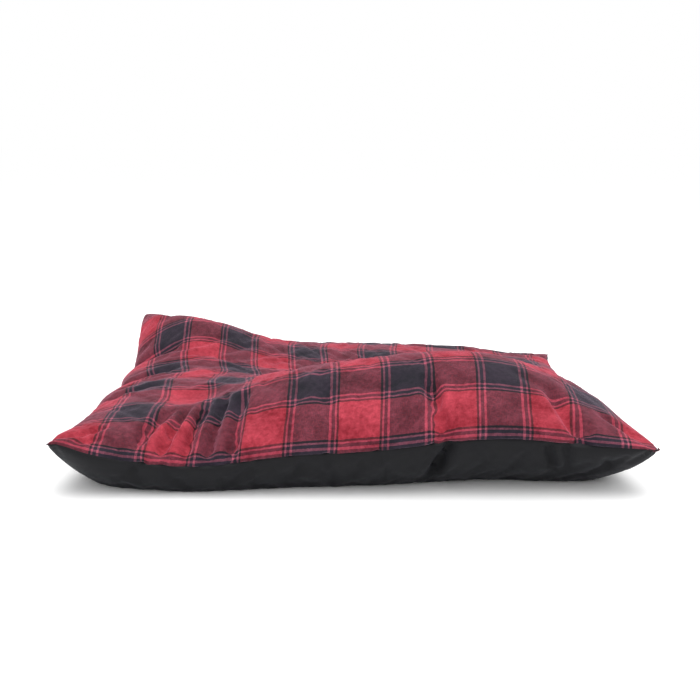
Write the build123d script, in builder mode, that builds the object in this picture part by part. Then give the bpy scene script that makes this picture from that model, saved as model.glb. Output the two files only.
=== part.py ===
from build123d import *
import math
import os

# Pet cushion bed: a stuffed rectangular pillow with a plaid plush top panel and a plain dark base
# panel, joined by a knife-edge seam and closed by a zip in the back seam. Inside lies a sewn
# liner filled with polyester fibre. A pet has lain on it, so the middle is dished, the front is
# heaped up on the right and the back left corner is turned up like an ear.
#
# Millimetres. +X runs along the long front seam, +Y to the back (the zip side), +Z up.
# The origin is the middle of the footprint, on the floor.

# ---- driving dimensions --------------------------------------------------------------------
FRONT_Y = -330.0  # front seam
BACK_Y = 324.5  # back seam and the outer face of the zip opening
MIDDLE_Y = (FRONT_Y + BACK_Y) / 2
HALF_DEPTH = (BACK_Y - FRONT_Y) / 2
HALF_WIDTH = 424.0  # half the distance between the left and right corners
CORNER_FLARE = 5.0  # the front corners stand this much further out than the back ones
LEFT_PULL = 16.0  # the stuffed side seams pull in this far between their corners
RIGHT_PULL = 34.0
BACK_RIGHT_IN = 18.0  # the back right corner is drawn in by this much
SEAM_HEIGHT = 64.0  # height of the seam above the floor, away from its local lifts and dips
LOFT_HEIGHT = 62.0  # height of the top panel above the seam, before its heaps and hollows
BASE_DROP = 98.0  # the base panel would hang this far below the seam if the floor let it
SEAM_LIP = 1.5  # half the thickness of the seam's edge
# How full each panel is from edge to edge, as (fullness, roundness): see swell()
TOP_SWELL = (2.6, 0.5)
BASE_SWELL_ACROSS = (8.0, 0.36)
BASE_SWELL_ALONG = (5.0, 0.7)

PLUSH = 2.0  # thickness of the plaid top fabric
CANVAS = 1.5  # thickness of the dark base fabric
TICKING = 1.0  # thickness of the liner's fabric
EASE = 2.5  # room between one layer and the next
SEAM_GAP = 0.5  # from the seam surface to the edge of each panel, for the stitches between them
COVER_ALLOWANCE = 8.0  # width of the folded edge where two cover panels are sewn together
LINER_INSET = 18.0  # the liner is smaller all round than the cover
LINER_ALLOWANCE = 6.0
FILL_INSET = 30.0

ZIP_HALF = 250.0  # half the length of the zip opening
ZIP_Z = SEAM_HEIGHT  # height of the zip's centre line
ZIP_LIP = 8.0  # half the height of the seam's edge where it opens for the zip
SLOT_HALF = 5.2  # half the gap between the two folded fabric edges
FLANGE = 1.2  # thickness of the folded fabric edge that covers a tape
TAPE_WIDTH = 10.0
TAPE_THICK = 0.6
TAPE_Y = BACK_Y - FLANGE - 0.1  # outer face of the tapes
TAPE_POCKET = 0.5  # room round the tapes behind the folded edges
ROW_GAP = 0.65  # from the zip's centre line to each row of teeth, and to each tape's edge
ROW_WIDTH = 2.3
ROW_THICK = 2.0
STOP_LENGTH = 4.0
STOP_GRIP = 0.5  # how far a stop stands proud of the row that it is clamped on
SLIDER_LENGTH = 12.0
SLIDER_WIDTH = 9.0
SLIDER_PLATE = 1.2
SLIDER_PLAY = 0.3  # running clearance between the slider and the rows
SLIDER_REST_X = ZIP_HALF - STOP_LENGTH - SLIDER_LENGTH / 2 - 0.5  # at the closed end
POST_LENGTH = 3.0
POST_WIDTH = 0.8
PIN_HEIGHT = 1.8  # from the slider's front plate up to the pull tab's pin
PIN_RADIUS = 0.7
PIN_PLAY = 0.06
LUG_RADIUS = 1.5
LUG_WIDTH = 1.2
PULL_LENGTH = 26.0
PULL_WIDTH = 7.0
PULL_THICK = 1.2
EYE_RADIUS = 1.4
EYE_WIDTH = 4.0

LABEL_X = 350.0  # the blank care label hangs from the back seam, beyond the zip
LABEL_WIDTH = 30.0
LABEL_TOP = SEAM_HEIGHT + 2
LABEL_DROP = 36.0
LABEL_THICK = 0.8
LABEL_CORNER = 2.0

# ---- the cushion's shape -------------------------------------------------------------------
# Local lifts and dips, each a smooth bump: (x, y, radius along x, radius along y, height)
SEAM_BUMPS = [
    (-424, FRONT_Y, 45, 90, 14),  # front left corner
    (-230, FRONT_Y, 112, 200, -19),  # the front seam sags where the pet's paws press
    (205, FRONT_Y, 140, 160, 21),  # the front seam is pulled up under the heap
    (424, FRONT_Y, 110, 80, 7),  # front right corner
    (424, BACK_Y, 60, 60, 6),  # back right corner
]
EAR_HEIGHT = 84.0  # the back left corner is turned up by this much
EAR_REACH_X = 170.0  # and the lift dies away over this far along the back seam
EAR_REACH_Y = 190.0  # and this far along the left seam
LOFT_BUMPS = [
    (215, -190, 260, 120, 62),  # filling heaped up at the front right
    (-70, -225, 180, 110, 26),  # and along the front, left of the heap
    (-245, -160, 60, 40, -20),  # pressed down by the front paws
    (20, 50, 280, 150, -46),  # the hollow the pet lies in
    (-315, 262, 130, 100, 78),  # filling heaped up at the back left
    (-300, 240, 80, 90, 20),
    (330, 260, 200, 120, -22),  # slack at the back right
]
ZIP_FADE = 18.0  # length over which the seam edge closes again past each end of the zip
ZIP_REACH = 60.0  # depth over which it thins towards the front
STATIONS = 6  # lofted sections on each side of the middle one
SPLINE_POINTS = 15  # points across each section


def bumps(table, x, y):
    """Sum of the smooth bumps in a table at a place in plan."""
    return sum(h * math.exp(-(((x - cx) / rx) ** 2) - ((y - cy) / ry) ** 2) for cx, cy, rx, ry, h in table)


def swell(s, fullness, roundness):
    """1 in the middle of a cushion and 0 at its edges, s = -1 and 1, where it meets the seam steeply."""
    return max(0.0, 1 - abs(s) ** fullness) ** roundness


def smooth_step(t):
    """Rises smoothly from 0 at t = 0 to 1 at t = 1."""
    t = min(1.0, max(0.0, t))
    return t * t * (3 - 2 * t)


def seam_z(x, y):
    """Height of the surface that the seam lies in, continued across the cushion."""
    ear = smooth_step(1 - (x + HALF_WIDTH) / EAR_REACH_X) * smooth_step(1 - (BACK_Y - y) / EAR_REACH_Y)
    return SEAM_HEIGHT + bumps(SEAM_BUMPS, x, y) + EAR_HEIGHT * ear


def reach(across, y, inset):
    """How far a place is from the middle, where across is -1 at the left seam and 1 at the right one."""
    t = (y - MIDDLE_Y) / HALF_DEPTH
    bow = 1 - t * t
    if across < 0:
        width = HALF_WIDTH - CORNER_FLARE * t - LEFT_PULL * bow
    else:
        width = HALF_WIDTH - CORNER_FLARE * t - RIGHT_PULL * bow - BACK_RIGHT_IN * smooth_step((t + 0.4) / 1.4)
    return across * (width - inset)


def zip_lip(x, y):
    """Extra half-thickness of the back seam's edge where it opens for the zip."""
    along = smooth_step((ZIP_HALF + ZIP_FADE + 4 - abs(x)) / ZIP_FADE)
    near = smooth_step((y - BACK_Y + ZIP_REACH) / ZIP_REACH)
    return (ZIP_LIP - SEAM_LIP) * along * near


def spread(n):
    """2n + 1 values from -1 to 1, closer together towards both ends."""
    return [math.sin(math.pi / 2 * k / n) for k in range(-n, n + 1)]


def section_points(y, inset, drop, side):
    """Points of one cross-section's upper (side 1) or lower (side -1) curve, or of the seam surface (0)."""
    s = (y - MIDDLE_Y) / (HALF_DEPTH - inset)
    points = []
    for across in spread(SPLINE_POINTS // 2):
        x = reach(across, y, inset)
        z = seam_z(x, y)
        if side > 0:
            rise = LOFT_HEIGHT - drop + bumps(LOFT_BUMPS, x, y)
            z += SEAM_LIP + zip_lip(x, y) + rise * swell(across, *TOP_SWELL) * swell(s, *TOP_SWELL)
        if side < 0:
            fall = BASE_DROP * swell(across, *BASE_SWELL_ACROSS) * swell(s, *BASE_SWELL_ALONG)
            z -= SEAM_LIP + zip_lip(x, y) + fall
        points.append((x, z))
    return points


def cushion(inset, drop, floor, upper=1, lower=-1):
    """A closed cushion shape, lofted from front to back and cut flat where it rests on the floor.

    It is taken in by inset in plan and by drop from above. upper and lower say which curves bound
    it, so that 1 and 0 give the half above the seam, and 0 and -1 the half below.
    """
    with BuildPart() as body:
        for s in spread(STATIONS):
            y = MIDDLE_Y + (HALF_DEPTH - inset) * s
            high = section_points(y, inset, drop, upper)
            low = section_points(y, inset, drop, lower)
            if upper == 0:
                high = [(x, z - SEAM_GAP) for x, z in high]
            if lower == 0:
                low = [(x, z + SEAM_GAP) for x, z in low]
            with BuildSketch(Plane.XZ.offset(-y)):
                with BuildLine():
                    Spline(*high)
                    Line(high[-1], low[-1])
                    Spline(*low)
                    Line(low[0], high[0])
                make_face()
        loft()
        with BuildSketch(Plane.XY.offset(floor)):
            Rectangle(3 * HALF_WIDTH, 3 * HALF_DEPTH)
        extrude(amount=-BASE_DROP, mode=Mode.SUBTRACT)
    return body.part


def panel(inset, drop, floor, side, thickness, allowance):
    """One sewn panel, above (side 1) or below (side -1) the seam: a skin that ends at the seam surface."""
    upper, lower = (1, 0) if side > 0 else (0, -1)
    outside = cushion(inset, drop, floor, upper, lower)
    inside = cushion(inset + allowance, drop + thickness, floor + thickness)
    other_side = cushion(inset, drop, floor, 0, -1)
    with BuildPart() as skin:
        add(outside)
        add(inside, mode=Mode.SUBTRACT)
        if side > 0:
            add(other_side, mode=Mode.SUBTRACT)
    return skin.part


def zip_plane(y, x=0.0):
    """A plane across the zip's centre line at that depth, facing out of the back seam."""
    return Plane(origin=(x, y, ZIP_Z), x_dir=(-1, 0, 0), z_dir=(0, 1, 0))


def save(piece, name):
    """Labels a finished piece and writes it as parts/name.step."""
    piece.part.label = name
    export_step(piece.part, f"parts/{name}.step")


os.makedirs("parts", exist_ok=True)

# ---- the cover: two panels, sewn together all round except along the zip ---------------------
slot_depth = 14.0
with BuildPart() as zip_slot:
    with BuildSketch(zip_plane(BACK_Y + 1)):
        Rectangle(2 * ZIP_HALF, 2 * SLOT_HALF)
    extrude(amount=-slot_depth)
    with BuildSketch(zip_plane(BACK_Y - FLANGE)):
        pocket_height = 2 * (ROW_GAP + TAPE_WIDTH + TAPE_POCKET)
        Rectangle(2 * (ZIP_HALF + TAPE_POCKET), pocket_height)
    extrude(amount=-slot_depth)

top_skin = panel(0, 0, 0, 1, PLUSH, COVER_ALLOWANCE)
with BuildPart() as cover_top_panel:
    add(top_skin)
    add(zip_slot.part, mode=Mode.SUBTRACT)
save(cover_top_panel, "cover_top_panel")

base_skin = panel(0, 0, 0, -1, CANVAS, COVER_ALLOWANCE)
with BuildPart() as cover_base_panel:
    add(base_skin)
    add(zip_slot.part, mode=Mode.SUBTRACT)
save(cover_base_panel, "cover_base_panel")

with BuildPart() as care_label:
    with BuildSketch(Plane(origin=(LABEL_X, BACK_Y, LABEL_TOP), x_dir=(-1, 0, 0), z_dir=(0, 1, 0))):
        with Locations((0, -LABEL_DROP / 2)):
            Rectangle(LABEL_WIDTH, LABEL_DROP)
    extrude(amount=LABEL_THICK)
    lower_corners = care_label.edges().filter_by(Axis.Y).group_by(Axis.Z)[0]
    fillet(lower_corners, LABEL_CORNER)
save(care_label, "care_label")

# ---- the inner cushion: a sewn liner and its filling -----------------------------------------
liner_drop = PLUSH + EASE
liner_floor = CANVAS + EASE
liner_top_skin = panel(LINER_INSET, liner_drop, liner_floor, 1, TICKING, LINER_ALLOWANCE)
with BuildPart() as liner_top_panel:
    add(liner_top_skin)
save(liner_top_panel, "liner_top_panel")

liner_base_skin = panel(LINER_INSET, liner_drop, liner_floor, -1, TICKING, LINER_ALLOWANCE)
with BuildPart() as liner_base_panel:
    add(liner_base_skin)
save(liner_base_panel, "liner_base_panel")

filling = cushion(FILL_INSET, liner_drop + TICKING + EASE, liner_floor + TICKING + EASE)
with BuildPart() as fibre_fill:
    add(filling)
save(fibre_fill, "fibre_fill")

# ---- the zip's two halves: a tape and a row of teeth each ------------------------------------
row_length = 2 * (ZIP_HALF - STOP_LENGTH)
row_centre = ROW_GAP + ROW_WIDTH / 2
tape_centre = ROW_GAP + TAPE_WIDTH / 2

with BuildPart() as zip_tape_upper:
    with BuildSketch(zip_plane(TAPE_Y)):
        with Locations((0, tape_centre)):
            Rectangle(2 * ZIP_HALF, TAPE_WIDTH)
    extrude(amount=-TAPE_THICK)
save(zip_tape_upper, "zip_tape_upper")

with BuildPart() as zip_tape_lower:
    with BuildSketch(zip_plane(TAPE_Y)):
        with Locations((0, -tape_centre)):
            Rectangle(2 * ZIP_HALF, TAPE_WIDTH)
    extrude(amount=-TAPE_THICK)
save(zip_tape_lower, "zip_tape_lower")

with BuildPart() as zip_coil_upper:
    with BuildSketch(zip_plane(TAPE_Y)):
        with Locations((0, row_centre)):
            Rectangle(row_length, ROW_WIDTH)
    extrude(amount=ROW_THICK)
    outer_edges = zip_coil_upper.edges().filter_by(Axis.X).group_by(Axis.Y)[-1]
    fillet(outer_edges, ROW_THICK / 4)
save(zip_coil_upper, "zip_coil_upper")

with BuildPart() as zip_coil_lower:
    with BuildSketch(zip_plane(TAPE_Y)):
        with Locations((0, -row_centre)):
            Rectangle(row_length, ROW_WIDTH)
    extrude(amount=ROW_THICK)
    outer_edges = zip_coil_lower.edges().filter_by(Axis.X).group_by(Axis.Y)[-1]
    fillet(outer_edges, ROW_THICK / 4)
save(zip_coil_lower, "zip_coil_lower")

# The closed end is at +X and has a stop on each row. One stop holds both rows at the other end.
stop_width = ROW_WIDTH + STOP_GRIP
stop_round = 0.6
with BuildPart() as zip_top_stops:
    with BuildSketch(zip_plane(TAPE_Y, ZIP_HALF - STOP_LENGTH / 2)):
        with Locations((0, ROW_GAP + stop_width / 2), (0, -ROW_GAP - stop_width / 2)):
            RectangleRounded(STOP_LENGTH, stop_width, stop_round)
    extrude(amount=ROW_THICK + STOP_GRIP)
save(zip_top_stops, "zip_top_stops")

with BuildPart() as zip_bottom_stop:
    with BuildSketch(zip_plane(TAPE_Y, -ZIP_HALF + STOP_LENGTH / 2)):
        RectangleRounded(STOP_LENGTH, 2 * (ROW_GAP + stop_width), stop_round)
    extrude(amount=ROW_THICK + STOP_GRIP)
save(zip_bottom_stop, "zip_bottom_stop")

# ---- the slider: two plates joined by a post, wrapped round both rows ------------------------
front_plate_y = TAPE_Y + ROW_THICK + SLIDER_PLAY
back_plate_y = TAPE_Y - TAPE_THICK - SLIDER_PLAY
pin_y = front_plate_y + SLIDER_PLATE + PIN_HEIGHT
flange_inside = ROW_GAP + ROW_WIDTH + SLIDER_PLAY
flange_width = SLIDER_WIDTH / 2 - flange_inside
lug_centre = EYE_WIDTH / 2 + PIN_PLAY + LUG_WIDTH / 2
plate_corner = 2.0

with BuildPart() as zip_slider_body:
    with BuildSketch(zip_plane(front_plate_y, SLIDER_REST_X)):
        RectangleRounded(SLIDER_LENGTH, SLIDER_WIDTH, plate_corner)
    extrude(amount=SLIDER_PLATE)
    with BuildSketch(zip_plane(back_plate_y, SLIDER_REST_X)):
        RectangleRounded(SLIDER_LENGTH, SLIDER_WIDTH, plate_corner)
    extrude(amount=-SLIDER_PLATE)
    with BuildSketch(zip_plane(back_plate_y, SLIDER_REST_X)):
        with Locations((-SLIDER_LENGTH / 2 + POST_LENGTH / 2 + 1, 0)):
            SlotOverall(POST_LENGTH, POST_WIDTH)
    extrude(amount=front_plate_y - back_plate_y)
    with BuildSketch(zip_plane(front_plate_y, SLIDER_REST_X)):
        with Locations((0, flange_inside + flange_width / 2), (0, -flange_inside - flange_width / 2)):
            Rectangle(SLIDER_LENGTH - 2 * plate_corner, flange_width)
    extrude(amount=-(front_plate_y - TAPE_Y - SLIDER_PLAY))
    for side in (1, -1):
        with BuildSketch(Plane.XY.offset(ZIP_Z + side * lug_centre - LUG_WIDTH / 2)):
            with Locations((SLIDER_REST_X, pin_y)):
                Circle(LUG_RADIUS)
            with Locations((SLIDER_REST_X, pin_y - PIN_HEIGHT / 2)):
                Rectangle(2 * LUG_RADIUS, PIN_HEIGHT)
        extrude(amount=LUG_WIDTH)
    with BuildSketch(Plane.XY.offset(ZIP_Z - lug_centre)):
        with Locations((SLIDER_REST_X, pin_y)):
            Circle(PIN_RADIUS)
    extrude(amount=2 * lug_centre)
save(zip_slider_body, "zip_slider_body")

# The pull tab lies flat along the zip, pointing away from the closed end.
with BuildPart() as zip_pull_tab:
    with BuildSketch(Plane.XY.offset(ZIP_Z - EYE_WIDTH / 2)):
        with Locations((SLIDER_REST_X, pin_y)):
            Circle(EYE_RADIUS)
        with Locations((SLIDER_REST_X - 2, pin_y)):
            Rectangle(4, PULL_THICK)
        with Locations((SLIDER_REST_X, pin_y)):
            Circle(PIN_RADIUS + PIN_PLAY, mode=Mode.SUBTRACT)
    extrude(amount=EYE_WIDTH)
    neck = LUG_RADIUS + 0.7
    blade = PULL_LENGTH - neck
    hole_length = 9.0
    with BuildSketch(zip_plane(pin_y - PULL_THICK / 2, SLIDER_REST_X)):
        with Locations((neck + blade / 2, 0)):
            RectangleRounded(blade, PULL_WIDTH, PULL_WIDTH / 3)
        with Locations((PULL_LENGTH - hole_length / 2 - 2.5, 0)):
            SlotOverall(hole_length, PULL_WIDTH / 2.5, mode=Mode.SUBTRACT)
    extrude(amount=PULL_THICK)
save(zip_pull_tab, "zip_pull_tab")
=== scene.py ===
"""Pet cushion bed: the looks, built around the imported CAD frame.

The cover is two cut pieces of fabric, a plaid plush top and a plain dark base, sewn together round
the edge. Both are grids of the flat cloth, laid on the stuffed shape, settled by Blender's cloth
and then given the folds that stay in it. The plaid and the seams follow the same cloth. Metres
throughout, apart from the widths of the plaid's stripes.
"""

import math

import bpy
import numpy as np
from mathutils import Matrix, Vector


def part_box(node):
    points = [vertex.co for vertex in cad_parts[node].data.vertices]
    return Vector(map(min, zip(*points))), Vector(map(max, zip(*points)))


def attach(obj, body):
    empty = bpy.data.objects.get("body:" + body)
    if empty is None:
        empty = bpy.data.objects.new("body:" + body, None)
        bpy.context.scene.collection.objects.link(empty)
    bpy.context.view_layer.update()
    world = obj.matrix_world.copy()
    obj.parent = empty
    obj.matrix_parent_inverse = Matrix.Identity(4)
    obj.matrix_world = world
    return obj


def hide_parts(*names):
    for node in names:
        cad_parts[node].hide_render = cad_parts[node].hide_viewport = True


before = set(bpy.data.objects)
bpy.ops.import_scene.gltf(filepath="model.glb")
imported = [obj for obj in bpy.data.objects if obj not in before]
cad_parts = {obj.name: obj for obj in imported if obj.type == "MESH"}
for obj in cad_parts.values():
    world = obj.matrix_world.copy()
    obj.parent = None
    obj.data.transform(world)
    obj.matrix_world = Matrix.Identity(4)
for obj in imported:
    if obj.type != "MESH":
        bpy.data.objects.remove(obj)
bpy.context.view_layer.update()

# ---- places taken from the frame ---------------------------------------------------------------
base_low, base_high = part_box("cover_base_panel")
_, tape_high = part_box("zip_tape_upper")
row_low, row_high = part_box("zip_coil_upper")
lower_row_low, lower_row_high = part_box("zip_coil_lower")
label_low, label_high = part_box("care_label")

FRONT_Y = base_low[1]
BACK_Y = base_high[1]
MIDDLE_Y = (FRONT_Y + BACK_Y) / 2
HALF_DEPTH = (BACK_Y - FRONT_Y) / 2
CORNER_FLARE = 0.005  # the front corners stand this much out, and the back ones this much in
HALF_WIDTH = base_high[0] - CORNER_FLARE
ZIP_HALF = tape_high[0]
ZIP_Z = (row_low[2] + lower_row_high[2]) / 2

# ---- the cushion's stuffed shape, the same as the frame's ----------------------------------------
LEFT_PULL = 0.016  # the side seams pull in this far between their corners
RIGHT_PULL = 0.034
BACK_RIGHT_IN = 0.018  # the back right corner is drawn in
BACK_RIGHT_FROM = -0.4  # starting here along the side, which runs from -1 at the front to 1
SEAM_HEIGHT = ZIP_Z
SEAM_LIP = 0.0006  # half the thickness of the seam's edge
LOFT_HEIGHT = 0.063
BASE_DROP = 0.099
TOP_SWELL = (2.6, 0.5)  # fullness and roundness from edge to edge
BASE_SWELL_ACROSS = (8.0, 0.36)
BASE_SWELL_ALONG = (5.0, 0.7)
SLOT_HALF = 0.0052  # half the gap between the folded fabric edges at the zip
SLOT_PAST = 0.008  # the gap has closed this far past each end of the zip, over SLOT_FADE
SLOT_FADE = 0.010
NEAR_BACK = (0.86, 0.14)  # where along the sides the gap begins to open, and over how much
TAPE_COVER = 0.0065  # how much further the fabric stands off the zip's centre line over its tapes
TAPE_COVER_START = 0.0022  # it rises to that within this depth, and is gone again at TAPE_COVER_END
TAPE_COVER_END = 0.060
TAPE_COVER_FADE = 0.070  # length over which it dies away past each end of the zip

# Smooth lifts and dips: (x, y, radius along x, radius along y, height)
SEAM_BUMPS = [
    (-0.424, FRONT_Y, 0.045, 0.090, 0.014),  # front left corner
    (-0.230, FRONT_Y, 0.112, 0.200, -0.019),  # sags where the pet's paws press
    (0.205, FRONT_Y, 0.140, 0.160, 0.021),  # pulled up under the heap
    (0.424, FRONT_Y, 0.110, 0.080, 0.007),  # front right corner
    (0.424, BACK_Y, 0.060, 0.060, 0.006),  # back right corner
]
EAR_HEIGHT = 0.084  # the back left corner is turned up
EAR_REACH_X = 0.170
EAR_REACH_Y = 0.190
LOFT_BUMPS = [
    (0.215, -0.190, 0.260, 0.120, 0.062),  # filling heaped up at the front right
    (-0.070, -0.225, 0.180, 0.110, 0.026),  # and along the front, left of the heap
    (-0.245, -0.160, 0.060, 0.040, -0.020),  # pressed down by the front paws
    (0.020, 0.050, 0.280, 0.150, -0.046),  # the hollow the pet lies in
    (-0.315, 0.262, 0.130, 0.100, 0.078),  # filling heaped up at the back left
    (-0.300, 0.240, 0.080, 0.090, 0.020),
    (0.330, 0.260, 0.200, 0.120, -0.022),  # slack at the back right
]
# Lobes and the notch between them along the left side seam: (y, radius, how far out)
LEFT_LOBES = [(0.105, 0.045, 0.008), (0.015, 0.028, -0.007), (-0.065, 0.050, 0.007)]

# ---- the cloth -----------------------------------------------------------------------------------
CLOTH_WIDTH = 0.886  # the flat cut inside the seam
CLOTH_DEPTH = 0.712
COLUMNS = 120
ROWS = 92
CLOTH_THICK = 0.0011
SEAM_SINK = 0.0014  # how far the seam line lies in below the cloth beside it
STITCH_ROW = 2  # the stitches beside the zip run this many rows of the finer grid in from its edge
PARTED_PAST = 0.006  # the panels are parted this far past each end of the zip
UNSEAMED_PAST = 0.012  # and their edges are not drawn together until this far past
NO_DIRECTION = 0.05  # two unit normals whose sum is shorter than this have cancelled

# How the cloth settles: how firmly it is held to the stuffed shape, the pressure inside, and how
# much spare cloth there is to wrinkle, from the seams inward over some grid rows
SIM_FRAMES = 20
SOFT_HOLD = 0.3
SEAM_HOLD = 0.5
PIN_STIFFNESS = 0.05
PRESSURE = 2.0
SPARE_INSIDE = 0.015
SPARE_AT_SEAM = 0.07
SPARE_REACH = 14
SIM_CAP = 0.012  # no point moves further than this
ON_FLOOR = 0.0015  # points lower than this stay where they are
ZIP_HELD = (0.006, 0.020)  # as do those this near the back, as far as this past the zip's ends

# The inner cushion: how far in from the cover's seams, under its top and off the floor
LINER_INSET = 0.026
LINER_DROP = 0.024
LINER_FLOOR = 0.004
LINER_ROWS = 60
LINER_COLUMNS = 80
LINER_THICK = 0.0006
LINER_CREASES = ((0.011, 0.017, 0.029), 0.0012)  # sizes and height
# The filling: the same again, measured from the liner
FILL_INSET = 0.008
FILL_DROP = 0.005
FILL_FLOOR = 0.004
FILL_CREASES = ((0.007, 0.013, 0.022), 0.0015)

# ---- the plaid's stripes, in millimetres of cloth, as (width, colour) ----------------------------
NAVY = (0.100, 0.098, 0.142)
PINK = (0.560, 0.240, 0.310)
BLACK = (0.060, 0.045, 0.065)
RED = (0.560, 0.095, 0.165)
STRIPES = [
    (50.8, NAVY), (3.7, PINK), (4.8, NAVY), (2.9, PINK), (3.1, BLACK),
    (60.5, RED), (3.1, BLACK), (2.9, PINK), (4.8, NAVY), (3.7, PINK),
]
WARP_START = 0.0765  # where a navy stripe starts, from the left seam
WEFT_START = -0.0462  # the same, from the front seam
DISPLAY_GAMMA = 2.2  # turns the stripes' display values into amounts of light

# Amounts of light
PAINTED_SHEEN = (0.55, 0.24, 0.29)  # a pale pink painted sheen, laid where the pile is lifted
CANVAS = (0.0056, 0.0055, 0.0068)


def bumps(table, x, y):
    total = np.zeros_like(x)
    for cx, cy, rx, ry, height in table:
        total += height * np.exp(-(((x - cx) / rx) ** 2) - ((y - cy) / ry) ** 2)
    return total


def swell(s, fullness, roundness):
    return np.maximum(0.0, 1 - np.abs(s) ** fullness) ** roundness


def smooth_step(t):
    t = np.clip(t, 0.0, 1.0)
    return t * t * (3 - 2 * t)


def zip_opening(x):
    """1 along the zip, falling to 0 just past each end of it."""
    return smooth_step((ZIP_HALF + SLOT_PAST - np.abs(x)) / SLOT_FADE)


def stuffed(across, along, side, inset=0.0, drop=0.0):
    """Points of the stuffed cushion's top (side 1) or base (side -1), from two numbers in -1..1."""
    y = MIDDLE_Y + (HALF_DEPTH - inset) * along
    bow = 1 - along**2
    left = LEFT_PULL * bow
    corner_in = BACK_RIGHT_IN * smooth_step((along - BACK_RIGHT_FROM) / (1 - BACK_RIGHT_FROM))
    right = RIGHT_PULL * bow + corner_in
    width = HALF_WIDTH - CORNER_FLARE * along - np.where(across < 0, left, right) - inset
    for cy, radius, out in LEFT_LOBES:
        width = width + out * np.exp(-(((y - cy) / radius) ** 2)) * smooth_step(-across)
    x = across * width
    ear = smooth_step(1 - (x + HALF_WIDTH) / EAR_REACH_X) * smooth_step(1 - (BACK_Y - y) / EAR_REACH_Y)
    seam = SEAM_HEIGHT + bumps(SEAM_BUMPS, x, y) + EAR_HEIGHT * ear
    near_back = smooth_step((along - NEAR_BACK[0]) / NEAR_BACK[1])
    lip = SEAM_LIP + (SLOT_HALF - SEAM_LIP) * zip_opening(x) * near_back
    depth = BACK_Y - y
    if drop == 0:  # the cover itself, which has the zip's tapes inside it
        over_tape = smooth_step(depth / TAPE_COVER_START) * smooth_step(1 - depth / TAPE_COVER_END)
        beside = smooth_step((ZIP_HALF + TAPE_COVER_FADE - np.abs(x)) / TAPE_COVER_FADE)
        lip = lip + TAPE_COVER * beside * over_tape
    if side > 0:
        rise = LOFT_HEIGHT - drop + bumps(LOFT_BUMPS, x, y)
        z = seam + lip + rise * swell(across, *TOP_SWELL) * swell(along, *TOP_SWELL)
    else:
        fall = BASE_DROP * swell(across, *BASE_SWELL_ACROSS) * swell(along, *BASE_SWELL_ALONG)
        z = np.maximum(seam - lip - fall, drop)
    return np.stack([x, y, z], axis=-1)


def even_steps(values, points):
    """The parameter values that make the steps between these points equal in length."""
    steps = np.linalg.norm(np.diff(points, axis=0), axis=1)
    run = np.concatenate([[0.0], np.cumsum(steps)])
    return np.interp(np.linspace(0, run[-1], len(run)), run, values)


def lay_cloth(side, rows, columns, inset=0.0, drop=0.0):
    """Lays a flat grid of cloth on the stuffed shape with its threads evenly spaced both ways."""
    rows_at, columns_at = np.linspace(-1, 1, rows + 1), np.linspace(-1, 1, columns + 1)
    along, across = np.meshgrid(rows_at, columns_at, indexing="ij")
    for _ in range(4):
        points = stuffed(across, along, side, inset, drop)
        across = np.stack([even_steps(across[j], points[j]) for j in range(rows + 1)])
        points = stuffed(across, along, side, inset, drop)
        along = np.stack([even_steps(along[:, i], points[:, i]) for i in range(columns + 1)], axis=1)
        across[:, [0, -1]] = -1, 1
        along[[0, -1]] = np.array([[-1], [1]])
    return stuffed(across, along, side, inset, drop)


# ---- folds that stay in the cloth ----------------------------------------------------------------
# (one end, other end, width, height), seen from above. Negative heights are valleys.
TOP_FOLDS = [
    # fanned out in front of the pet's paws
    ((-0.262, -0.196), (-0.312, -0.330), 0.0125, -0.0125),
    ((-0.240, -0.192), (-0.276, -0.342), 0.0115, -0.0155),
    ((-0.214, -0.190), (-0.240, -0.344), 0.0120, -0.0170),
    ((-0.188, -0.190), (-0.207, -0.348), 0.0120, -0.0165),
    ((-0.160, -0.200), (-0.172, -0.346), 0.0125, -0.0125),
    # above the pinch in the front seam, and nearer the right corner
    ((0.106, -0.235), (0.134, -0.350), 0.0135, -0.0150),
    ((0.146, -0.285), (0.140, -0.330), 0.0060, -0.0040),
    ((0.284, -0.235), (0.328, -0.352), 0.0160, -0.0165),
    ((0.336, -0.300), (0.334, -0.330), 0.0050, -0.0040),
    # between the lobes on the left
    ((-0.430, 0.008), (-0.290, 0.060), 0.0170, -0.0100),
    ((-0.430, 0.150), (-0.310, 0.150), 0.0160, -0.0085),
    ((-0.420, -0.125), (-0.300, -0.075), 0.0140, -0.0070),
    # running in from the corners
    ((-0.424, -0.322), (-0.345, -0.270), 0.0075, -0.0055),
    ((-0.400, -0.328), (-0.350, -0.300), 0.0055, -0.0040),
    ((0.420, -0.322), (0.350, -0.265), 0.0095, -0.0060),
    ((-0.405, 0.310), (-0.330, 0.250), 0.0090, -0.0060),
    ((0.385, 0.312), (0.330, 0.260), 0.0090, -0.0050),
]
# The same on the front of the base, seen from the front: x and height
FRONT_FOLDS = [
    ((0.150, 0.104), (0.106, 0.002), 0.0110, -0.0165),
    ((0.270, 0.088), (0.288, 0.028), 0.0085, -0.0085),
    ((0.296, 0.086), (0.308, 0.034), 0.0080, -0.0070),
    ((0.352, 0.060), (0.372, 0.030), 0.0080, -0.0040),
    ((-0.135, 0.055), (-0.178, 0.008), 0.0110, -0.0045),
    ((-0.060, 0.060), (-0.088, 0.020), 0.0100, -0.0035),
    ((0.020, 0.066), (0.000, 0.020), 0.0100, -0.0030),
    ((-0.300, 0.050), (-0.330, 0.020), 0.0100, -0.0035),
]


FOLD_FADES = (0.35, 0.25)  # share of its length over which a fold rises at its first and last end
FOLD_BESIDE = 0.7  # how strongly the cloth beside a fold moves the other way
FRONT_FOLDS_FROM = -0.22  # the base's folds begin this far forward, over FRONT_FOLDS_FADE
FRONT_FOLDS_FADE = 0.05


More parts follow.
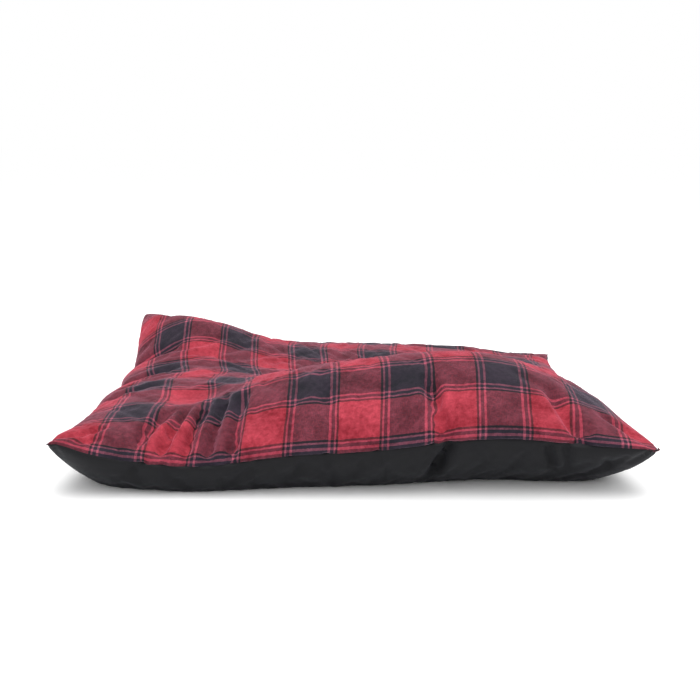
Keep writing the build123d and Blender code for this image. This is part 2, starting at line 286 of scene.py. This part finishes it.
def fold_heights(points, table):
    """How far the folds near each point push it along its normal. Points are in two dimensions."""
    total = np.zeros(points.shape[:-1])
    for start, end, width, height in table:
        start, end = np.array(start), np.array(end)
        run = end - start
        t = np.clip((points - start) @ run / (run @ run), 0, 1)
        away = np.linalg.norm(points - (start + t[..., None] * run), axis=-1) / width
        fade = smooth_step(t / FOLD_FADES[0]) * smooth_step((1 - t) / FOLD_FADES[1])
        total += height * fade * (1 - FOLD_BESIDE * away**2) * np.exp(-(away**2))
    return total


def normals(grid, side):
    """Outward normals of a grid of points."""
    cross = np.cross(np.gradient(grid, axis=1), np.gradient(grid, axis=0)) * side
    return cross / np.maximum(np.linalg.norm(cross, axis=-1, keepdims=True), 1e-12)


def finer(grid):
    """The same grid with a point added between each two, on a smooth curve through them."""
    for axis in (0, 1):
        grid = np.swapaxes(grid, 0, axis)
        ahead = np.concatenate([grid[1:], [3 * grid[-1] - 3 * grid[-2] + grid[-3]]])
        behind = np.concatenate([[3 * grid[0] - 3 * grid[1] + grid[2]], grid[:-1]])
        middle = (9 * (grid[:-1] + grid[1:]) - behind[:-1] - ahead[1:]) / 16
        result = np.empty((2 * len(grid) - 1,) + grid.shape[1:])
        result[0::2], result[1::2] = grid, middle
        grid = np.swapaxes(result, 0, axis)
    return grid


def grid_faces(rows, columns, side):
    """Quads of a grid of (rows + 1) by (columns + 1) points, numbered along the rows."""
    first = (np.arange(rows)[:, None] * (columns + 1) + np.arange(columns)).ravel()
    faces = np.stack([first, first + 1, first + columns + 2, first + columns + 1], axis=1)
    return faces if side > 0 else faces[:, ::-1]


def new_object(name, points, faces, flat=None):
    """A mesh object. flat gives each point's place on the uncut cloth, kept as its UV, in metres."""
    if not np.isfinite(points).all():
        raise ValueError(f"{name} has points that are not numbers")
    mesh = bpy.data.meshes.new(name)
    mesh.from_pydata(np.asarray(points).reshape(-1, 3).tolist(), [], np.asarray(faces).tolist())
    if flat is not None:
        layer = mesh.uv_layers.new(name="cloth")
        corners = np.empty(len(mesh.loops), dtype=np.int32)
        mesh.loops.foreach_get("vertex_index", corners)
        places = np.asarray(flat).reshape(-1, 2)[corners]
        layer.data.foreach_set("uv", places.astype(np.float32).ravel())
    mesh.shade_smooth()
    item = bpy.data.objects.new(name, mesh)
    bpy.context.scene.collection.objects.link(item)
    return item


def flat_places(rows, columns):
    """Where each point of a grid lies on the flat cloth."""
    rows_at, columns_at = np.linspace(0, CLOTH_DEPTH, rows + 1), np.linspace(0, CLOTH_WIDTH, columns + 1)
    v, u = np.meshgrid(rows_at, columns_at, indexing="ij")
    return np.stack([u, v], axis=-1)


# ---- the sewn bag, settled by the cloth simulation -----------------------------------------------
def sew(top, base):
    """Shares the seam's points between the two panels, except along the zip.

    Returns the points, the faces, and each panel's point numbers as a grid.
    """
    rows, columns = top.shape[0] - 1, top.shape[1] - 1
    top_number = np.arange(top.shape[0] * top.shape[1]).reshape(top.shape[:2])
    seam = np.zeros(top.shape[:2], dtype=bool)
    seam[[0, -1]] = True
    seam[:, [0, -1]] = True
    open_zip = np.abs(top[-1, :, 0]) < ZIP_HALF + PARTED_PAST
    seam[-1, open_zip] = False
    base_number = top_number.copy()
    base_number[~seam] = top_number.size + np.arange((~seam).sum())
    points = np.concatenate([top.reshape(-1, 3), base[~seam]])
    faces = [grid_faces(rows, columns, 1), base_number.ravel()[grid_faces(rows, columns, -1)]]
    upper, lower = top_number[-1], base_number[-1]
    strip = np.stack([upper[:-1], upper[1:], lower[1:], lower[:-1]], axis=1)
    strip = strip[open_zip[:-1] & open_zip[1:]]
    return points, np.concatenate(faces + [strip]), top_number, base_number


def settle(top, base):
    """Inflates the sewn bag against its own cloth, and returns the two panels as they come to rest."""
    points, faces, top_number, base_number = sew(top, base)
    bag = new_object("bag", points, faces)
    hold = np.full(len(points), SOFT_HOLD)
    hold[top_number[[0, -1]].ravel()] = SEAM_HOLD
    hold[top_number[:, [0, -1]].ravel()] = SEAM_HOLD
    hold[points[:, 2] < ON_FLOOR] = 1.0
    at_zip = (points[:, 1] > BACK_Y - ZIP_HELD[0]) & (np.abs(points[:, 0]) < ZIP_HALF + ZIP_HELD[1])
    hold[at_zip] = 1.0
    four_corners = top_number[[0, 0, -1, -1], [0, -1, 0, -1]]
    hold[four_corners] = 1.0
    group = bag.vertex_groups.new(name="hold")
    for weight in np.unique(hold):
        group.add(np.flatnonzero(hold == weight).tolist(), float(weight), "REPLACE")
    spare = bag.vertex_groups.new(name="spare")
    from_seam = np.zeros(len(points))
    for grid, number in ((top, top_number), (base, base_number)):
        steps = [np.minimum(np.arange(size), np.arange(size)[::-1]) for size in grid.shape[:2]]
        from_seam[number] = np.minimum(steps[0][:, None], steps[1])
    for step in range(SPARE_REACH):
        weight = 1 - step / SPARE_REACH
        spare.add(np.flatnonzero(from_seam == step).tolist(), weight, "REPLACE")

    cloth = bag.modifiers.new("settle", "CLOTH")
    cloth.point_cache.frame_start = 1
    cloth.point_cache.frame_end = SIM_FRAMES
    use = cloth.settings
    use.quality = 6
    use.mass = 0.15
    use.tension_stiffness = 25
    use.compression_stiffness = 25
    use.shear_stiffness = 6
    use.bending_stiffness = 0.35
    use.use_pressure = True
    use.uniform_pressure_force = PRESSURE
    use.vertex_group_mass = "hold"
    use.pin_stiffness = PIN_STIFFNESS
    use.vertex_group_shrink = "spare"
    use.shrink_min = -SPARE_INSIDE
    use.shrink_max = -SPARE_AT_SEAM
    use.effector_weights.gravity = 0
    scene = bpy.context.scene
    for number in range(1, SIM_FRAMES + 1):
        scene.frame_set(number)
    settled = bag.evaluated_get(bpy.context.evaluated_depsgraph_get()).to_mesh()
    result = np.empty(len(points) * 3, dtype=np.float32)
    settled.vertices.foreach_get("co", result)
    result = result.reshape(-1, 3).astype(float)
    scene.frame_set(1)
    bpy.data.objects.remove(bag)

    moved = result - points
    length = np.maximum(np.linalg.norm(moved, axis=1, keepdims=True), 1e-9)
    result = points + moved * np.minimum(1, SIM_CAP / length)
    result[:, 2] = np.maximum(result[:, 2], 0)
    return result[top_number], result[base_number]


# ---- materials -----------------------------------------------------------------------------------
class Shade:
    """A node material being built: each call adds one node and links what it is given."""

    def __init__(self, name, **sockets):
        self.made = bpy.data.materials.new(name)
        self.made.use_nodes = True
        self.tree = self.made.node_tree
        self.surface = self.tree.nodes["Principled BSDF"]
        for socket, value in sockets.items():
            self.put(self.surface, socket.replace("_", " "), value)

    def put(self, target, socket, value):
        if isinstance(value, bpy.types.NodeSocket):
            self.tree.links.new(value, target.inputs[socket])
        else:
            target.inputs[socket].default_value = value

    def node(self, kind, inputs, output=0, **settings):
        added = self.tree.nodes.new("ShaderNode" + kind)
        for setting, value in settings.items():
            setattr(added, setting, value)
        for socket, value in inputs.items():
            self.put(added, socket, value)
        return added.outputs[output]

    def maths(self, operation, *values):
        return self.node("Math", dict(enumerate(values)), operation=operation)

    def cloth(self):
        """The place on the flat cloth, as separate x and y in metres."""
        place = self.node("UVMap", {}, uv_map="cloth")
        apart = self.tree.nodes.new("ShaderNodeSeparateXYZ")
        self.tree.links.new(place, apart.inputs[0])
        return place, apart.outputs[0], apart.outputs[1]

    def noise(self, place, scale, detail=2.0, roughness=0.5, stretch=(1, 1, 1)):
        moved = self.node("Mapping", {"Vector": place, "Scale": stretch})
        inputs = {"Vector": moved, "Scale": scale, "Detail": detail, "Roughness": roughness}
        return self.node("TexNoise", inputs)

    def mix(self, factor, first, second, blend="MIX"):
        mixer = self.tree.nodes.new("ShaderNodeMix")
        mixer.data_type = "RGBA"
        mixer.blend_type = blend
        self.put(mixer, 0, factor)
        self.put(mixer, 6, first)
        self.put(mixer, 7, second)
        return mixer.outputs[2]

    def span(self, value, low, high, first=0.0, last=1.0):
        """Rescales value from first..last to low..high."""
        return self.node("MapRange", {0: value, 1: first, 2: last, 3: low, 4: high})

    def vary(self, value, low, high):
        """Rescales a noise to low..high, from the range that most of it lies in."""
        return self.span(value, low, high, 0.3, 0.7)

    def grey(self, value):
        return self.node("CombineColor", {0: value, 1: value, 2: value})

    def waves(self, place, pitch, distortion, detail, **settings):
        """Height of threads a pitch apart. A wave of scale 1 repeats every 0.314 m."""
        inputs = {"Vector": place, "Scale": 0.314 / pitch, "Distortion": distortion, "Detail": detail}
        return self.node("TexWave", inputs, output=1, **settings)

    def bump(self, height, distance, strength=1.0, below=None):
        inputs = {"Height": height, "Distance": distance, "Strength": strength}
        if below is not None:
            inputs["Normal"] = below
        return self.node("Bump", inputs)

    def finish(self, **sockets):
        for socket, value in sockets.items():
            self.put(self.surface, socket.replace("_", " "), value)
        return self.made


def opaque(colour):
    return (*colour, 1.0)


def stripes(shade, place, start):
    """The colour of one set of threads along the cloth, in display values."""
    total = sum(width for width, _ in STRIPES)
    turns = shade.maths("DIVIDE", shade.maths("SUBTRACT", place, start), total / 1000)
    ramp = shade.tree.nodes.new("ShaderNodeValToRGB")
    ramp.color_ramp.interpolation = "CONSTANT"
    shade.put(ramp, 0, shade.maths("FRACT", turns))
    run = 0.0
    for count, (width, colour) in enumerate(STRIPES):
        stops = ramp.color_ramp.elements
        stop = stops[0] if count == 0 else stops.new(run / total)
        stop.position = run / total
        stop.color = opaque(colour)
        run += width
    # a new ramp already has a stop at its far end
    ramp.color_ramp.elements.remove(ramp.color_ramp.elements[-1])
    return ramp.outputs[0]


def plaid_plush():
    """Brushed plush, woven in a plaid: the colours of both sets of threads show through each other."""
    shade = Shade("plaid_plush", Roughness=0.82, Specular_IOR_Level=0.25, Sheen_Weight=1.0,
                  Sheen_Roughness=0.30)
    place, u, v = shade.cloth()
    wander = shade.noise(place, 260.0, 2.0)
    u_soft = shade.maths("ADD", u, shade.vary(wander, -0.00025, 0.00025))
    v_soft = shade.maths("ADD", v, shade.vary(wander, 0.00025, -0.00025))
    warp = stripes(shade, u_soft, WARP_START)
    weft = stripes(shade, v_soft, WEFT_START)
    # fibres of either set lie on top in short streaks
    along = shade.noise(place, 760.0, 3.0, 0.6, (1.0, 0.22, 1.0))
    across = shade.noise(place, 760.0, 3.0, 0.6, (0.22, 1.0, 1.0))
    lean = shade.maths("ADD", 0.5, shade.maths("SUBTRACT", along, across))
    woven = shade.mix(shade.span(lean, 0.37, 0.63, 0.25, 0.75), warp, weft)
    colour = shade.node("Gamma", {"Color": woven, "Gamma": DISPLAY_GAMMA})
    # the nap lies one way here and the other way there
    brushed = shade.noise(place, 22.0, 4.0, 0.62)
    fine = shade.noise(place, 150.0, 3.0, 0.6)
    tone = shade.maths("MULTIPLY", shade.vary(brushed, 0.62, 1.42), shade.vary(fine, 0.78, 1.24))
    colour = shade.mix(1.0, colour, shade.grey(tone), "MULTIPLY")
    # painted sheen: a pale pink wash over the red threads, in random patches where the pile is lifted,
    # stands in for the light that the nap catches
    red = shade.node("SeparateColor", {"Color": woven})
    nap = shade.maths("ADD", brushed, shade.maths("MULTIPLY", fine, 0.5))
    sheen_patches = shade.span(nap, 0.0, 0.28, 0.55, 1.0)
    painted_sheen_share = shade.maths("MULTIPLY", sheen_patches, red)
    colour = shade.mix(painted_sheen_share, colour, opaque(PAINTED_SHEEN))
    fibres = shade.noise(place, 1000.0, 3.0, 0.75, (1.0, 0.45, 1.0))
    colour = shade.mix(1.0, colour, shade.grey(shade.vary(fibres, 0.66, 1.34)), "MULTIPLY")
    pile = shade.bump(fibres, 0.0009, 0.8)
    lie = shade.bump(brushed, 0.004, 0.25, pile)
    # the tips of the pile catch the light in a paler shade of their own dye
    tips = shade.mix(0.14, woven, (0.90, 0.52, 0.62, 1.0))
    return shade.finish(Base_Color=colour, Sheen_Tint=tips, Normal=lie)


def twill(shade, place, pitch):
    """Height of a fine diagonal weave on the cloth."""
    turned = shade.node("Mapping", {"Vector": place, "Rotation": (0, 0, math.radians(58))})
    return shade.waves(turned, pitch, 1.5, 2.0)


def dark_canvas():
    """The plain base fabric: a close near-black twill with a slight shine on its floats."""
    shade = Shade("dark_canvas", Roughness=0.62, Specular_IOR_Level=0.18, Sheen_Weight=0.04,
                  Sheen_Roughness=0.5, Sheen_Tint=(0.8, 0.85, 1.0, 1.0))
    place, _, _ = shade.cloth()
    weave = twill(shade, place, 0.0011)
    patch = shade.noise(place, 30.0, 4.0, 0.6)
    tone = shade.maths("MULTIPLY", shade.span(weave, 0.75, 1.2), shade.vary(patch, 0.8, 1.25))
    colour = shade.mix(1.0, opaque(CANVAS), shade.grey(tone), "MULTIPLY")
    rough = shade.vary(patch, 0.55, 0.72)
    relief = shade.bump(patch, 0.002, 0.2, shade.bump(weave, 0.0002, 0.6))
    return shade.finish(Base_Color=colour, Roughness=rough, Normal=relief)


def plain_weave(name, colour, pitch, roughness=0.85):
    """A plain-woven fabric, patterned by its place on the part, for pieces with no flat cloth."""
    shade = Shade(name, Roughness=roughness, Specular_IOR_Level=0.25, Sheen_Weight=0.15)
    place = shade.node("TexCoord", {}, output=3)
    threads = [shade.waves(place, pitch, 0.6, 1.0, bands_direction=direction) for direction in "XYZ"]
    height = shade.maths("MULTIPLY", shade.maths("ADD", threads[0], threads[1]), threads[2])
    patch = shade.noise(place, 60.0, 3.0, 0.6)
    tone = shade.maths("MULTIPLY", shade.span(height, 0.82, 1.12, 0, 2), shade.vary(patch, 0.88, 1.1))
    tinted = shade.mix(1.0, opaque(colour), shade.grey(tone), "MULTIPLY")
    return shade.finish(Base_Color=tinted, Normal=shade.bump(height, 0.00015, 0.5))


def moulded(name, colour, metallic, roughness):
    """Satin plastic or enamelled metal with a little wear."""
    shade = Shade(name, Metallic=metallic, Specular_IOR_Level=0.5)
    place = shade.node("TexCoord", {}, output=3)
    grain = shade.noise(place, 900.0, 3.0, 0.6)
    wear = shade.noise(place, 220.0, 4.0, 0.65)
    worn = opaque([3 * channel for channel in colour])
    tinted = shade.mix(shade.span(wear, 0.0, 0.5, 0.55, 0.8), opaque(colour), worn)
    rough = shade.vary(grain, roughness - 0.08, roughness + 0.12)
    return shade.finish(Base_Color=tinted, Roughness=rough, Normal=shade.bump(grain, 0.00004, 0.4))


def fibre():
    """Polyester fibre: white, matted, with tangled strands."""
    shade = Shade("polyester_fibre", Roughness=0.95, Specular_IOR_Level=0.2, Sheen_Weight=0.4)
    place = shade.node("TexCoord", {}, output=3)
    strands = shade.noise(place, 180.0, 6.0, 0.75, (1.0, 0.35, 0.6))
    clumps = shade.noise(place, 28.0, 3.0, 0.6)
    tone = shade.maths("MULTIPLY", shade.vary(strands, 0.8, 1.0), shade.vary(clumps, 0.85, 1.0))
    tinted = shade.mix(1.0, (0.86, 0.86, 0.84, 1.0), shade.grey(tone), "MULTIPLY")
    return shade.finish(Base_Color=tinted, Normal=shade.bump(strands, 0.003, 0.6))


# ---- pieces --------------------------------------------------------------------------------------
def dress(item, material, body, slot, *stands_for):
    """Gives a new piece its material and its body, and hides the CAD nodes it stands for. The slot is
    not used.
    """
    item.data.materials.append(material)
    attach(item, body)
    if stands_for:
        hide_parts(*stands_for)
    return item


def give_thickness(item, thickness):
    """Turns a sheet into cloth with a thickness, added on its inner side."""
    solid = item.modifiers.new("thickness", "SOLIDIFY")
    solid.thickness = thickness
    solid.offset = -1
    solid.use_quality_normals = True


def cover():
    """The plaid top and the dark base, settled, folded and cut apart at the seam."""
    top = lay_cloth(1, ROWS, COLUMNS)
    base = lay_cloth(-1, ROWS, COLUMNS)
    top, base = settle(top, base)
    top, base = finer(top), finer(base)
    out_top, out_base = normals(top, 1), normals(base, -1)
    edge = np.zeros(top.shape[:2], dtype=bool)
    edge[[0, -1]] = True
    edge[:, [0, -1]] = True
    at_zip = (np.abs(top[..., 0]) < ZIP_HALF + UNSEAMED_PAST) & edge & (top[..., 1] > MIDDLE_Y)
    seam = edge & ~at_zip
    # the two normals cancel at a corner, where the seam's outward direction is level instead
    shared = out_top[seam] + out_base[seam]
    cancelled = np.linalg.norm(shared, axis=1, keepdims=True) < NO_DIRECTION
    shared = np.where(cancelled, top[seam] * (1, 1, 0), shared)
    out_top[seam] = out_base[seam] = shared / np.linalg.norm(shared, axis=1, keepdims=True)
    at_front = smooth_step((FRONT_FOLDS_FROM - base[..., 1]) / FRONT_FOLDS_FADE)
    top = top + out_top * fold_heights(top[..., :2], TOP_FOLDS)[..., None]
    base = base + out_base * (fold_heights(base[..., ::2], FRONT_FOLDS) * at_front)[..., None]
    meet = (top[seam] + base[seam]) / 2 - out_top[seam] * SEAM_SINK
    top[seam] = base[seam] = meet
    base[..., 2] = np.maximum(base[..., 2], 0)

    rows, columns = top.shape[0] - 1, top.shape[1] - 1
    places = flat_places(rows, columns)
    cover_top = new_object("cover_top", top, grid_faces(rows, columns, 1), places)
    cover_base = new_object("cover_base", base, grid_faces(rows, columns, -1), places)
    for item in (cover_top, cover_base):
        give_thickness(item, CLOTH_THICK)
    dress(cover_top, plaid_plush(), "cushion", "plaid_plush", "cover_top_panel")
    dress(cover_base, dark_canvas(), "cushion", "dark_canvas", "cover_base_panel")
    return top, base


def crumple(grid, side, sizes, height):
    """Presses soft uneven creases of these sizes into a grid of points."""
    x, y = grid[..., 0], grid[..., 1]
    waves = 0
    for k, size in enumerate(sizes):
        waves = waves + np.sin(x / size + 1.3 * k) * np.sin(y / (0.8 * size) + 2.1 * k)
    return grid + normals(grid, side) * (height * waves / len(sizes))[..., None]


def liner_and_fill():
    """The inner cushion: two panels of ticking, and the fibre that fills them."""
    ticking = plain_weave("liner_ticking", (0.76, 0.74, 0.69), 0.0012)
    rows, columns = LINER_ROWS, LINER_COLUMNS
    for side, name, drop in ((1, "liner_top", LINER_DROP), (-1, "liner_base", LINER_FLOOR)):
        sheet = crumple(lay_cloth(side, rows, columns, LINER_INSET, drop), side, *LINER_CREASES)
        panel = new_object(name, sheet, grid_faces(rows, columns, side))
        give_thickness(panel, LINER_THICK)
        dress(panel, ticking, "cushion", "liner_ticking", name + "_panel")
    halves = []
    for side, drop in ((1, LINER_DROP + FILL_DROP), (-1, LINER_FLOOR + FILL_FLOOR)):
        half = lay_cloth(side, rows, columns, LINER_INSET + FILL_INSET, drop)
        halves.append(crumple(half, side, *FILL_CREASES))
    halves[1][[0, -1]] = halves[0][[0, -1]]
    halves[1][:, [0, -1]] = halves[0][:, [0, -1]]
    upper = np.arange((rows + 1) * (columns + 1)).reshape(rows + 1, columns + 1)
    lower = upper.copy()
    inside = (rows - 1, columns - 1)
    lower[1:-1, 1:-1] = upper.size + np.arange(inside[0] * inside[1]).reshape(inside)
    points = np.concatenate([halves[0].reshape(-1, 3), halves[1][1:-1, 1:-1].reshape(-1, 3)])
    faces = np.concatenate([grid_faces(rows, columns, 1), lower.ravel()[grid_faces(rows, columns, -1)]])
    filling = new_object("fibre_filling", points, faces)
    dress(filling, fibre(), "cushion", "polyester_fibre", "fibre_fill")


def tube(path, across, radius, sides):
    """Points and faces of a round thread along a path, given a direction square to it at each point."""
    ahead = np.gradient(path, axis=0)
    ahead /= np.linalg.norm(ahead, axis=1, keepdims=True)
    other = np.cross(ahead, across)
    turn = np.linspace(0, 2 * math.pi, sides, endpoint=False)
    ring = np.cos(turn)[None, :, None] * across[:, None] + np.sin(turn)[None, :, None] * other[:, None]
    points = path[:, None] + radius * ring
    first = np.arange(len(path) - 1)[:, None] * sides
    here = first + np.arange(sides)
    there = first + (np.arange(sides) + 1) % sides
    faces = np.stack([here, there, there + sides, here + sides], axis=-1)
    return points.reshape(-1, 3), faces.reshape(-1, 4)


def gather(parts):
    """Joins several (points, faces) into one."""
    start = 0
    all_points, all_faces = [], []
    for points, faces in parts:
        all_points.append(points)
        all_faces.append(faces + start)
        start += len(points)
    return np.concatenate(all_points), np.concatenate(all_faces)


def zip_coils():
    """Each row of teeth is a flattened coil of thick filament, sewn to its tape."""
    plastic = moulded("zip_coil", (0.022, 0.022, 0.024), 0.0, 0.38)
    pitch = 0.0014
    wire = 0.00030
    steps = 12  # points to a turn
    for name, low, high in (("upper", row_low, row_high), ("lower", lower_row_low, lower_row_high)):
        turns = int((high[0] - low[0]) / pitch)
        turn = np.linspace(0, 2 * math.pi * turns, turns * steps + 1)
        middle_y, middle_z = (low[1] + high[1]) / 2, (low[2] + high[2]) / 2
        half_y, half_z = (high[1] - low[1]) / 2 - wire, (high[2] - low[2]) / 2 - wire
        out = np.stack([np.zeros_like(turn), np.cos(turn), np.sin(turn)], axis=1)
        path = np.stack([low[0] + pitch * turn / (2 * math.pi), middle_y + half_y * out[:, 1],
                         middle_z + half_z * out[:, 2]], axis=1)
        points, faces = tube(path, out, wire, 6)
        coil = new_object(f"zip_coil_{name}_teeth", points, faces)
        dress(coil, plastic, "cushion", "zip_coil", f"zip_coil_{name}")


def stitches(line, out, name, material, length=0.0034, gap=0.0011, radius=0.00028):
    """A row of sewn stitches along a line of points, each dipping into the cloth at its ends."""
    steps = np.linalg.norm(np.diff(line, axis=0), axis=1)
    run = np.concatenate([[0], np.cumsum(steps)])

    def at(distance, values):
        return np.stack([np.interp(distance, run, values[:, k]) for k in range(3)], axis=1)

    parts = []
    for start in np.arange(gap, run[-1] - length, length + gap):
        t = np.linspace(0, 1, 7)
        # from 0.9 of a radius under the cloth at its ends to a whole one above it
        lift = radius * (1.9 * np.sin(math.pi * t) ** 0.6 - 0.9)
        away = at(start + length * t, out)
        path = at(start + length * t, line) + away * lift[:, None]
        parts.append(tube(path, away, radius, 5))
    points, faces = gather(parts)
    row = new_object(name, points, faces)
    return dress(row, material, "cushion", "zip_tape")


LABEL_CLEAR = 0.0002  # how far the label stands off the inner side of its place in the frame
LABEL_TUCKED = 0.001  # how far down from the top of that place it starts


def care_label(material):
    """The blank satin label, hanging from the back seam with a slight curl."""
    width = label_high[0] - label_low[0]
    drop = label_high[2] - label_low[2]
    rows, columns = 16, 12
    v, u = np.meshgrid(np.linspace(0, 1, rows + 1), np.linspace(0, 1, columns + 1), indexing="ij")
    curl = 0.0022 * v**2 * np.sin(math.pi * (0.15 + 0.7 * u)) + 0.0008 * np.sin(5 * v + 2 * u) * v
    corner = 0.0012 * np.maximum(0, (v - 0.9) / 0.1) ** 2 * np.abs(2 * u - 1) ** 3
    x = label_high[0] - width * u
    y = label_low[1] + LABEL_CLEAR + curl
    z = label_high[2] - LABEL_TUCKED - (drop - LABEL_TUCKED) * v + corner
    points = np.stack([x, y, z], axis=-1)
    label = new_object("care_label_blank", points, grid_faces(rows, columns, -1))
    give_thickness(label, 0.0004)
    return dress(label, material, "cushion", "label_satin", "care_label")


def keep(node, material):
    """Gives a CAD node its finished material."""
    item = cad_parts[node]
    for slot in item.material_slots:
        slot.material = material


# ---- the whole bed -------------------------------------------------------------------------------
top, base = cover()
liner_and_fill()
zip_coils()

tape_weave = plain_weave("zip_tape", (0.017, 0.017, 0.020), 0.0007, 0.8)
enamel = moulded("zip_metal", (0.035, 0.035, 0.040), 0.6, 0.38)
for node in ("zip_tape_upper", "zip_tape_lower"):
    keep(node, tape_weave)
for node in ("zip_top_stops", "zip_bottom_stop", "zip_slider_body", "zip_pull_tab"):
    keep(node, enamel)
care_label(plain_weave("label_satin", (0.80, 0.79, 0.75), 0.0004, 0.45))

thread = plain_weave("stitch_thread", (0.03, 0.028, 0.032), 0.0005, 0.6)
beside_zip = np.abs(top[-1, :, 0]) < ZIP_HALF + PARTED_PAST
for name, grid, side in (("zip_stitches_upper", top, 1), ("zip_stitches_lower", base, -1)):
    outward = normals(grid, side)
    row = -1 - STITCH_ROW
    stitches(grid[row, beside_zip], outward[row, beside_zip], name, thread)


# ---- camera, floor and light -----------------------------------------------------------------------
CAMERA_PLACE = (-0.003, -1.679, 0.489)
CAMERA_PITCH = 0.2020
LENS = 51.7

scene = bpy.context.scene
camera = bpy.data.objects.new("camera", bpy.data.cameras.new("camera"))
camera.data.lens = LENS
camera.data.sensor_width = 36
camera.location = CAMERA_PLACE
camera.rotation_euler = (math.pi / 2 - CAMERA_PITCH, 0, 0)
scene.collection.objects.link(camera)
scene.camera = camera
scene.view_settings.view_transform = "Standard"


def floor():
    """A white studio floor, wide enough to reach the horizon from every side."""
    shade = Shade("studio_floor", Base_Color=(1, 1, 1, 1), Roughness=0.95, Specular_IOR_Level=0.0)
    reach = 60.0
    below = -0.0003  # just under the bed, so that the two surfaces don't coincide
    corners = np.array([[(x, y, below) for x in (-reach, reach)] for y in (-reach, reach)])
    stage = new_object("studio_floor", corners, grid_faces(1, 1, 1))
    stage.data.materials.append(shade.finish())


def area_light(name, place, aim, size, power, colour=(1, 1, 1)):
    lamp = bpy.data.lights.new(name, "AREA")
    lamp.shape = "RECTANGLE"
    lamp.size, lamp.size_y = size
    lamp.energy = power
    lamp.color = colour
    item = bpy.data.objects.new(name, lamp)
    item.location = place
    item.rotation_euler = (Vector(aim) - Vector(place)).to_track_quat("-Z", "Y").to_euler()
    scene.collection.objects.link(item)


floor()
area_light("top_light", (0.1, -0.1, 2.6), (0, 0, 0), (3.2, 2.6), 56)
area_light("front_light", (-1.1, -2.6, 1.5), (0, 0, 0.05), (2.4, 1.6), 4)
area_light("right_light", (2.3, -0.9, 1.3), (0, 0, 0.05), (1.4, 1.4), 5)
world = bpy.data.worlds.new("studio")
world.use_nodes = True
world.node_tree.nodes["Background"].inputs["Color"].default_value = (1, 1, 1, 1)
world.node_tree.nodes["Background"].inputs["Strength"].default_value = 1.0
scene.world = world
